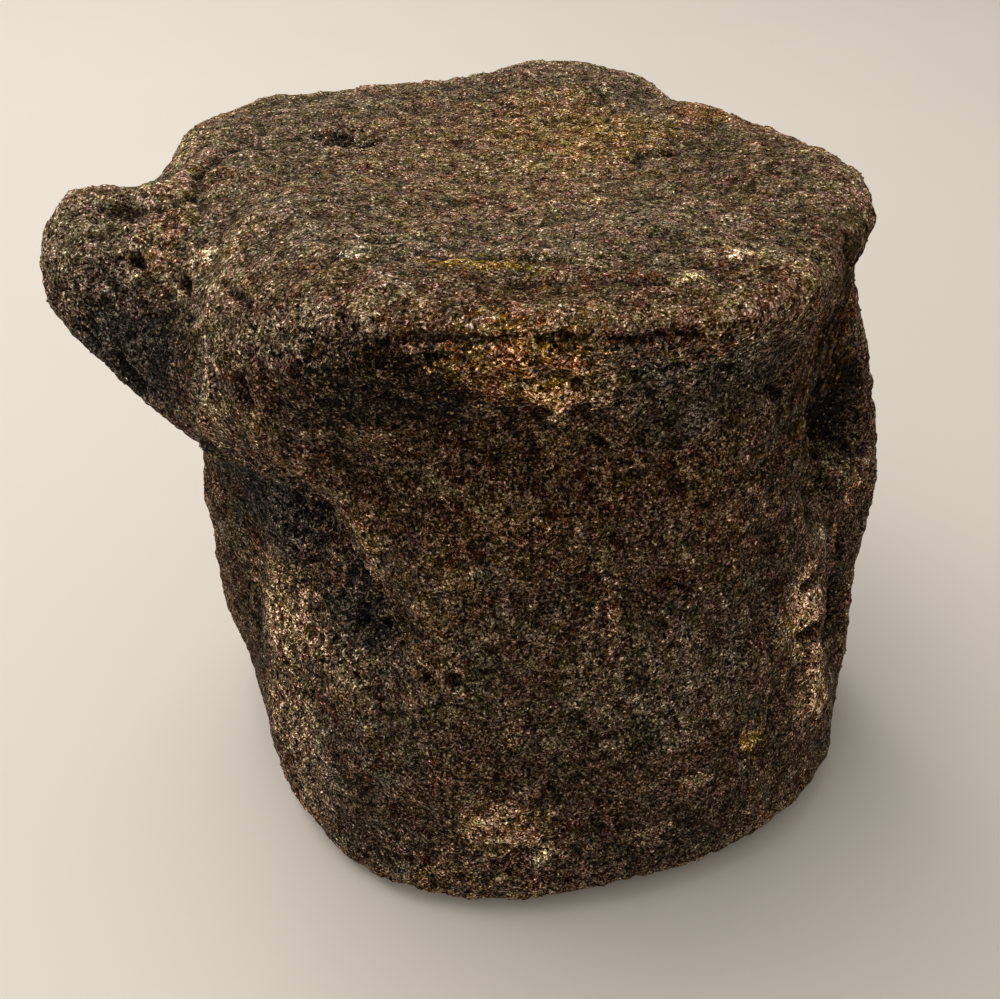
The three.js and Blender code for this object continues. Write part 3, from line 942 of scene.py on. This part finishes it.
    def noise_height(self, tree: Tree, place: Node, spongy: Node, size: Inputs) -> Node:
        """Add up the swells, lumps and grains of the worn surface, in mm.

        Args:
            tree: The tree.
            place: The place in mm.
            spongy: The share of open spongy bone.
            size: The tree's named inputs.

        Returns:
            The height.
        """
        parts = []
        for name, spacing, detail in (("Broad relief", 26.0, 2.0), ("Lump relief", 9.0, 2.5),
                                      ("Grain relief", 3.0, 2.0)):
            noise = Noise(1 / spacing, detail, 0.55, low=0.25, high=0.75, least=-1.0)
            swing = noise.level(tree, place)
            parts.append(add(tree, MATH, {0: swing, 1: size[name]}, operation="MULTIPLY"))
        more = add(tree, RANGE, {"Value": spongy, "To Min": 0.75, "To Max": 1.5})
        grains = add(tree, MATH, {0: parts[2], 1: more}, operation="MULTIPLY")
        height = add(tree, MATH, {0: parts[0], 1: parts[1]}, operation="ADD")
        return add(tree, MATH, {0: height, 1: grains}, operation="ADD")

    def pores(self, tree: Tree, place: Node, spongy: Node, size: Inputs, height: Node) -> Node:
        """Sink the coarse pores of the open spongy bone.

        Args:
            tree: The tree.
            place: The place in mm.
            spongy: The share of open spongy bone.
            size: The tree's named inputs.
            height: The height so far.

        Returns:
            The height with the pores in it.
        """
        scale = add(tree, MATH, {0: 1.0, 1: size["Pore spacing"]}, operation="DIVIDE")
        bend = add(tree, NOISE, {"Vector": place, "Scale": 0.4, "Detail": 2.0})
        bend = add(tree, VECTOR, {0: bend.outputs["Color"], 1: (3, 3, 3), 2: place},
                   operation="MULTIPLY_ADD")
        cell = add(tree, "ShaderNodeTexVoronoi", {"Vector": bend, "Scale": scale})
        depth = add(tree, RANGE, {"Value": cell.outputs["Distance"], "From Min": 0.56,
                                  "From Max": 0.14}, interpolation_type="SMOOTHSTEP")
        chance = add(tree, "FunctionNodeSeparateColor", {0: cell.outputs["Color"]})
        is_open = add(tree, RANGE, {"Value": chance.outputs[0], "From Min": 0.3,
                                    "From Max": 0.6})
        share = add(tree, RANGE, {"Value": spongy, "To Min": 0.16, "To Max": 1.0})
        for factor in (is_open, share, size["Pore depth"]):
            depth = add(tree, MATH, {0: depth, 1: factor}, operation="MULTIPLY")
        return add(tree, MATH, {0: height, 1: depth}, operation="SUBTRACT")

    def fibrous_share(self, tree: Tree, place: Node) -> Node:
        """Give the share of torn fibres at each place: all of it in the right root's groove.

        Args:
            tree: The tree.
            place: The place in mm.

        Returns:
            The share, from 0 to 1.
        """
        torn = add(tree, VECTOR, {0: place, 1: push(tree, place, 0.12, 4.0, 12.0)},
                   operation="ADD")
        return add(tree, RANGE, {"Value": TORN.distance(tree, torn), "From Min": 1.2,
                                 "From Max": 0.6})

    def fibres(self, tree: Tree, place: Node, fibrous: Node, size: Inputs,
               height: Node) -> Node:
        """Raise the long fibres of bone in the groove of the broken right root.

        Args:
            tree: The tree.
            place: The place in mm.
            fibrous: The share of torn fibres.
            size: The tree's named inputs.
            height: The height so far.

        Returns:
            The height with the fibres in it.
        """
        drawn = comb(tree, place, (0.42, 0.42, 0.05))
        swing = Noise(1.0, 2.0, low=0.3, high=0.7, least=-1.0).level(tree, drawn)
        rise = add(tree, MATH, {0: swing, 1: fibrous}, operation="MULTIPLY")
        return add(tree, MATH, {0: rise, 1: size["Fibre relief"], 2: height},
                   operation="MULTIPLY_ADD")

    def marks(self, tree: Tree, place: Node, strokes: tuple[Mark, ...],
              relief: Relief) -> Node:
        """Add up the marks that sit at their own places, in mm.

        Args:
            tree: The tree.
            place: The place in mm.
            strokes: The marks.
            relief: Which way they go.

        Returns:
            The node that gives their height.
        """
        group = self.stroke_tree()
        height = 0.0
        for stroke in strokes:
            part = add(tree, "GeometryNodeGroup",
                       {"Place": place, "Start": stroke.start, "End": stroke.end,
                        "Radius": stroke.radius, "Height": relief.value * stroke.height},
                       node_tree=group)
            height = add(tree, MATH, {0: height, 1: part}, operation="ADD")
        return height

    def stroke_tree(self) -> Tree:
        """Build, once, the group that gives one mark's height at a place.

        Returns:
            The group's tree.
        """
        if "bone_stroke" in bpy.data.node_groups:
            return bpy.data.node_groups["bone_stroke"]
        tree = bpy.data.node_groups.new("bone_stroke", "GeometryNodeTree")
        for name in ("Place", "Start", "End"):
            tree.interface.new_socket(name, in_out="INPUT", socket_type="NodeSocketVector")
        for name in ("Radius", "Height"):
            tree.interface.new_socket(name, in_out="INPUT", socket_type="NodeSocketFloat")
        tree.interface.new_socket("Height", in_out="OUTPUT", socket_type="NodeSocketFloat")
        given = add(tree, "NodeGroupInput").outputs
        run = add(tree, VECTOR, {0: given["End"], 1: given["Start"]}, operation="SUBTRACT")
        here = add(tree, VECTOR, {0: given["Place"], 1: given["Start"]}, operation="SUBTRACT")
        down = add(tree, VECTOR, {0: here, 1: run}, operation="DOT_PRODUCT").outputs["Value"]
        whole = add(tree, VECTOR, {0: run, 1: run}, operation="DOT_PRODUCT").outputs["Value"]
        share = add(tree, MATH, {0: down, 1: whole}, operation="DIVIDE", use_clamp=True)
        near = add(tree, VECTOR, {0: run, "Scale": share}, operation="SCALE")
        gap = add(tree, VECTOR, {0: here, 1: near}, operation="DISTANCE").outputs["Value"]
        fall = add(tree, MATH, {0: gap, 1: given["Radius"]}, operation="DIVIDE")
        part = add(tree, RANGE, {"Value": fall, "From Min": 1.15, "From Max": 0.25,
                                 "To Max": given["Height"]}, interpolation_type="SMOOTHSTEP")
        add(tree, "NodeGroupOutput", {0: part})
        return tree

    def wear_and_shade_tree(self, material: Material) -> Tree:
        """Build the tree that stores how far each place stands proud of what is round it.

        Args:
            material: The bone's material.

        Returns:
            The Geometry Nodes tree.
        """
        tree = new_tree("edge_wear_and_shade", ())
        kept = self.above_floor(tree, add(tree, "NodeGroupInput").outputs["Geometry"])
        place = add(tree, VECTOR, {0: add(tree, "GeometryNodeInputPosition"), 1: METRES_TO_MM},
                    operation="MULTIPLY")
        normal = add(tree, "GeometryNodeInputNormal")
        # The material lightens proud places as rubbed edges and darkens sunken ones as painted
        # shade.
        for name, rounds in (("crest", 7), ("ridge", 60)):
            about = add(tree, "GeometryNodeBlurAttribute", {"Value": place, "Iterations": rounds},
                        data_type="FLOAT_VECTOR")
            proud = add(tree, VECTOR, {0: place, 1: about}, operation="SUBTRACT")
            proud = add(tree, VECTOR, {0: proud, 1: normal}, operation="DOT_PRODUCT")
            kept = add(tree, STORE, {"Geometry": kept, "Name": name,
                                     "Value": proud.outputs["Value"]},
                       data_type="FLOAT", domain="POINT")
        finish_tree(tree, kept, material)
        return tree


@dataclass
class SandGrains:
    """The pores' sand, strewn evenly over the bone: thousands of grains of a fraction of a mm."""

    grains_per_cm2: float = 5.0
    least: float = 0.12
    most: float = 0.4
    above: float = 1.2

    def build(self, skin: Piece, finish: SandFinish) -> Piece:
        """Scatter the grains over the bone and make them one mesh.

        Args:
            skin: The finished bone.
            finish: The sand's finish.

        Returns:
            The finished piece.
        """
        sand = bpy.data.objects.new("sand_base", skin.data.copy())
        bpy.context.collection.objects.link(sand)
        scatter = sand.modifiers.new("scatter", "NODES")
        scatter.node_group = self.scatter_tree(finish.material())
        set_sizes(scatter, {"Grains per m2": self.grains_per_cm2 * CM2_PER_M2,
                            "Least": self.least * MM, "Most": self.most * MM,
                            "Above": self.above * MM})
        sand = freeze(sand, "sand_grains")
        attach(sand, "root")
        LOG.info("%s: %d triangles", sand.name, len(sand.data.polygons))
        return sand

    def scatter_tree(self, material: Material) -> Tree:
        """Build the tree that scatters rough grains over a surface.

        Args:
            material: The sand's material.

        Returns:
            The Geometry Nodes tree.
        """
        tree = new_tree("sand_scatter", ("Grains per m2", "Least", "Most", "Above"))
        size = add(tree, "NodeGroupInput").outputs
        place = add(tree, "GeometryNodeInputPosition")
        split = add(tree, "ShaderNodeSeparateXYZ", {0: place})
        clear = add(tree, "FunctionNodeCompare", {"A": split.outputs["Z"], "B": size["Above"]},
                    data_type="FLOAT", operation="GREATER_THAN")
        points = add(tree, "GeometryNodeDistributePointsOnFaces",
                     {"Mesh": size["Geometry"], "Selection": clear,
                      "Density": size["Grains per m2"], "Seed": 11})
        ball = add(tree, "GeometryNodeMeshIcoSphere", {"Radius": 1.0, "Subdivisions": 1})
        grain = add(tree, "GeometryNodeSetPosition",
                    {"Geometry": ball, "Offset": push(tree, place, 1.4, 1.0, 0.45)})
        turn = add(tree, "FunctionNodeRandomValue",
                   {"Min": (0.0, 0.0, 0.0), "Max": (6.28, 6.28, 6.28), "Seed": 3},
                   data_type="FLOAT_VECTOR")
        scale = add(tree, "FunctionNodeRandomValue",
                    {"Min": size["Least"], "Max": size["Most"], "Seed": 7}, data_type="FLOAT")
        laid = add(tree, "GeometryNodeInstanceOnPoints",
                   {"Points": points, "Instance": grain, "Rotation": turn, "Scale": scale})
        finish_tree(tree, laid, material)
        return tree


@dataclass
class Studio:
    """The floor, the soft light and the camera, in metres."""

    lens: float = 36.04
    eye: Place = (0.0020022, -0.2225733, 0.2316)
    tilt: float = 51.8
    floor: float = 3.0
    sky: float = 0.36
    light: str = "#fffaf4"

    def build(self, finish: LimedTableFinish) -> None:
        """Set the floor, the lights and the camera.

        Args:
            finish: The floor's finish.
        """
        mesh = bpy.data.meshes.new("floor")
        half = self.floor
        mesh.from_pydata([(-half, -half, 0), (half, -half, 0), (half, half, 0), (-half, half, 0)],
                         [], [(0, 1, 2, 3)])
        mesh.materials.append(finish.material())
        floor = bpy.data.objects.new("floor", mesh)
        bpy.context.collection.objects.link(floor)
        self.lamp("window", (-0.7, 0.62, 1.6), 1.7, 27.0)
        self.lamp("fill", (-1.1, -0.7, 1.0), 1.4, 3.0)
        world = bpy.data.worlds.new("room")
        world.use_nodes = True
        background = world.node_tree.nodes["Background"]
        background.inputs["Color"].default_value = linear(self.light)
        background.inputs["Strength"].default_value = self.sky
        scene = bpy.context.scene
        scene.world = world
        scene.view_settings.view_transform = "Standard"
        data = bpy.data.cameras.new("camera")
        data.lens = self.lens
        data.sensor_width = 36.0
        data.sensor_fit = "HORIZONTAL"
        data.clip_start = 0.01
        camera = bpy.data.objects.new("camera", data)
        camera.location = self.eye
        camera.rotation_euler = (math.radians(self.tilt), 0.0, 0.0)
        bpy.context.collection.objects.link(camera)
        scene.camera = camera
        LOG.info("studio: camera at %s", tuple(round(part, 4) for part in self.eye))

    def lamp(self, name: str, place: Place, size: float, power: float) -> None:
        """Hang one soft square lamp that faces the bone.

        Args:
            name: The lamp's name.
            place: Where it hangs.
            size: Its side.
            power: Its power in watts.
        """
        data = bpy.data.lights.new(name, "AREA")
        data.size = size
        data.energy = power
        data.color = linear(self.light)[:3]
        lamp = bpy.data.objects.new(name, data)
        lamp.location = place
        aim = Vector(BONE_MIDDLE) - Vector(place)
        lamp.rotation_euler = aim.to_track_quat("-Z", "Y").to_euler()
        bpy.context.collection.objects.link(lamp)


def new_tree(name: str, sizes: tuple[str, ...]) -> Tree:
    """Start a Geometry Nodes tree with one geometry through it and named sizes.

    Args:
        name: The tree's name.
        sizes: The names of its number inputs.

    Returns:
        The tree, still without nodes.
    """
    tree = bpy.data.node_groups.new(name, "GeometryNodeTree")
    tree.interface.new_socket("Geometry", in_out="INPUT", socket_type="NodeSocketGeometry")
    for size in sizes:
        tree.interface.new_socket(size, in_out="INPUT", socket_type="NodeSocketFloat")
    tree.interface.new_socket("Geometry", in_out="OUTPUT", socket_type="NodeSocketGeometry")
    return tree


def finish_tree(tree: Tree, geometry: Node, material: Material) -> None:
    """End a Geometry Nodes tree with real geometry that wears its material.

    Args:
        tree: The tree.
        geometry: The geometry.
        material: The material.
    """
    solid = add(tree, "GeometryNodeRealizeInstances", {"Geometry": geometry})
    dressed = add(tree, "GeometryNodeSetMaterial", {"Geometry": solid, "Material": material})
    add(tree, "NodeGroupOutput", {0: dressed})


def set_sizes(modifier: bpy.types.NodesModifier, sizes: dict[str, float]) -> None:
    """Set a tree's named sizes on its modifier, by socket identifier.

    Args:
        modifier: The tree's modifier.
        sizes: For each input's name, its value.
    """
    for item in modifier.node_group.interface.items_tree:
        if item.name in sizes:
            modifier[item.identifier] = sizes[item.name]


def freeze(piece: Piece, name: str) -> Piece:
    """Turn a piece and its live modifiers into one plain mesh object.

    Args:
        piece: The piece, which is removed.
        name: The new object's name.

    Returns:
        The plain object.
    """
    graph = bpy.context.evaluated_depsgraph_get()
    mesh = bpy.data.meshes.new_from_object(piece.evaluated_get(graph))
    mesh.name = name
    plain = bpy.data.objects.new(name, mesh)
    bpy.context.collection.objects.link(plain)
    old = piece.data
    bpy.data.objects.remove(piece)
    bpy.data.meshes.remove(old)
    return plain


def main() -> None:
    """Build the studio, the bone and its sand."""
    logging.basicConfig(level=logging.INFO, format="%(name)s %(message)s")
    Studio().build(LimedTableFinish())
    skin = VertebraSkin().build(FossilBoneFinish())
    SandGrains().build(skin, SandFinish())
    LOG.info("size written")


if __name__ == "__main__":
    main()
